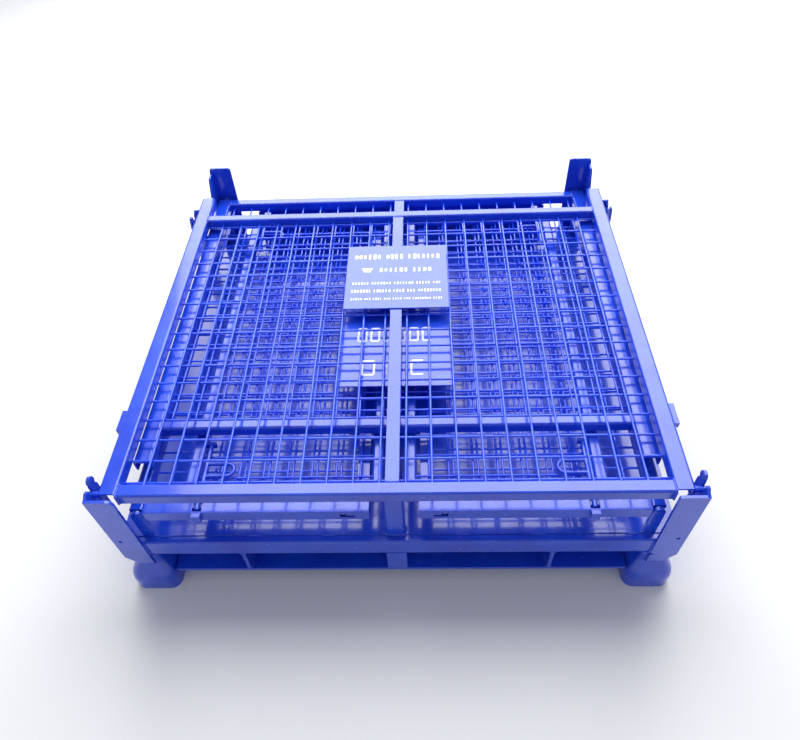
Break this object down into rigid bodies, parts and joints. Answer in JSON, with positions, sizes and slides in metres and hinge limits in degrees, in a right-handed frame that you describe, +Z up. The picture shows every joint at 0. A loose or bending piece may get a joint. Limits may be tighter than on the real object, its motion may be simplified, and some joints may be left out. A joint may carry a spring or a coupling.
{
  "type": "wire mesh stillage",
  "caption": "Folded flat steel mesh stillage: base on stacking feet with fork pockets, hinged mesh walls, drop gates with slide bolts.",
  "frame": {"origin": "on the ground, under the middle of the base's bounding box", "axes": "+X to the right, +Y from the front wall hinge to the back, +Z up"},
  "size_m": [1.168, 1.054, 0.405],
  "materials": {
    "frame_paint": "gloss",
    "mesh_paint": "gloss",
    "plate_paint": "gloss",
    "foot_paint": "gloss",
    "floor_paint": "gloss",
    "latch_paint": "gloss"
  },
  "bodies": {
    "base": {"centre_post": "frame_paint", "floor_bearers": "frame_paint", "floor_sheet": "floor_paint", "foot_front_left": "foot_paint", "foot_front_right": "foot_paint", "foot_rear_left": "foot_paint", "foot_rear_right": "foot_paint", "fork_dividers": "frame_paint", "fork_straps": "frame_paint", "front_corner_plate_left": "frame_paint", "front_corner_plate_right": "frame_paint", "front_rail": "frame_paint", "rear_corner_plate_left": "frame_paint", "rear_corner_plate_right": "frame_paint", "rear_notch_plate_left": "frame_paint", "rear_notch_plate_right": "frame_paint", "rear_rail": "frame_paint", "rear_sill": "frame_paint", "side_rail_left": "frame_paint", "side_rail_right": "frame_paint", "wall_hinge_ears": "frame_paint"},
    "front_wall": {"front_wall_bottom_rail": "frame_paint", "front_wall_centre_bar": "frame_paint", "front_wall_mesh": "mesh_paint", "front_wall_post_left": "frame_paint", "front_wall_post_right": "frame_paint", "front_wall_top_rail": "frame_paint", "name_plate": "plate_paint"},
    "rear_wall": {"load_plate": "plate_paint", "rear_wall_bottom_rail": "frame_paint", "rear_wall_centre_bar": "frame_paint", "rear_wall_mesh": "mesh_paint", "rear_wall_post_left": "frame_paint", "rear_wall_post_right": "frame_paint", "rear_wall_top_rail": "frame_paint"},
    "left_wall": {"left_wall_hinge_pins": "latch_paint", "left_wall_hinge_rail": "frame_paint", "left_wall_mesh": "mesh_paint", "left_wall_post_front": "frame_paint", "left_wall_post_rear": "frame_paint", "left_wall_top_bar": "frame_paint"},
    "right_wall": {"right_wall_hinge_pins": "latch_paint", "right_wall_hinge_rail": "frame_paint", "right_wall_mesh": "mesh_paint", "right_wall_post_front": "frame_paint", "right_wall_post_rear": "frame_paint", "right_wall_top_bar": "frame_paint"},
    "left_gate": {"left_gate_bottom_rail": "frame_paint", "left_gate_end_bars": "frame_paint", "left_gate_mesh": "mesh_paint", "left_gate_top_rail": "frame_paint"},
    "right_gate": {"right_gate_bottom_rail": "frame_paint", "right_gate_end_bars": "frame_paint", "right_gate_mesh": "mesh_paint", "right_gate_top_rail": "frame_paint"},
    "left_bolt_front": {"left_latch_bolt_front": "latch_paint"},
    "left_bolt_rear": {"left_latch_bolt_rear": "latch_paint"},
    "right_bolt_front": {"right_latch_bolt_front": "latch_paint"},
    "right_bolt_rear": {"right_latch_bolt_rear": "latch_paint"}
  },
  "joints": [
    {"name": "front_wall_hinge", "type": "hinge", "parent": "base", "child": "front_wall", "pos_m": [0, -0.486, 0.336], "axis": [1, 0, 0], "range_deg": [0, 90]},
    {"name": "rear_wall_hinge", "type": "hinge", "parent": "base", "child": "rear_wall", "pos_m": [0, 0.485, 0.296], "axis": [-1, 0, 0], "range_deg": [0, 0.5]},
    {"name": "left_wall_hinge", "type": "hinge", "parent": "base", "child": "left_wall", "pos_m": [-0.508, 0, 0.253], "axis": [0, -1, 0], "range_deg": [0, 0.5]},
    {"name": "right_wall_hinge", "type": "hinge", "parent": "base", "child": "right_wall", "pos_m": [0.508, 0, 0.253], "axis": [0, 1, 0], "range_deg": [0, 0.5]},
    {"name": "left_gate_hinge", "type": "hinge", "parent": "left_wall", "child": "left_gate", "pos_m": [-0.099, 0, 0.258], "axis": [0, 1, 0], "range_deg": [0, 0.8]},
    {"name": "right_gate_hinge", "type": "hinge", "parent": "right_wall", "child": "right_gate", "pos_m": [0.099, 0, 0.258], "axis": [0, -1, 0], "range_deg": [0, 0.8]},
    {"name": "left_bolt_front_slide", "type": "slide", "parent": "left_gate", "child": "left_bolt_front", "axis": [0, 1, 0], "range_m": [0, 0.026]},
    {"name": "left_bolt_rear_slide", "type": "slide", "parent": "left_gate", "child": "left_bolt_rear", "axis": [0, -1, 0], "range_m": [0, 0.026]},
    {"name": "right_bolt_front_slide", "type": "slide", "parent": "right_gate", "child": "right_bolt_front", "axis": [0, 1, 0], "range_m": [0, 0.026]},
    {"name": "right_bolt_rear_slide", "type": "slide", "parent": "right_gate", "child": "right_bolt_rear", "axis": [0, -1, 0], "range_m": [0, 0.026]}
  ]
}
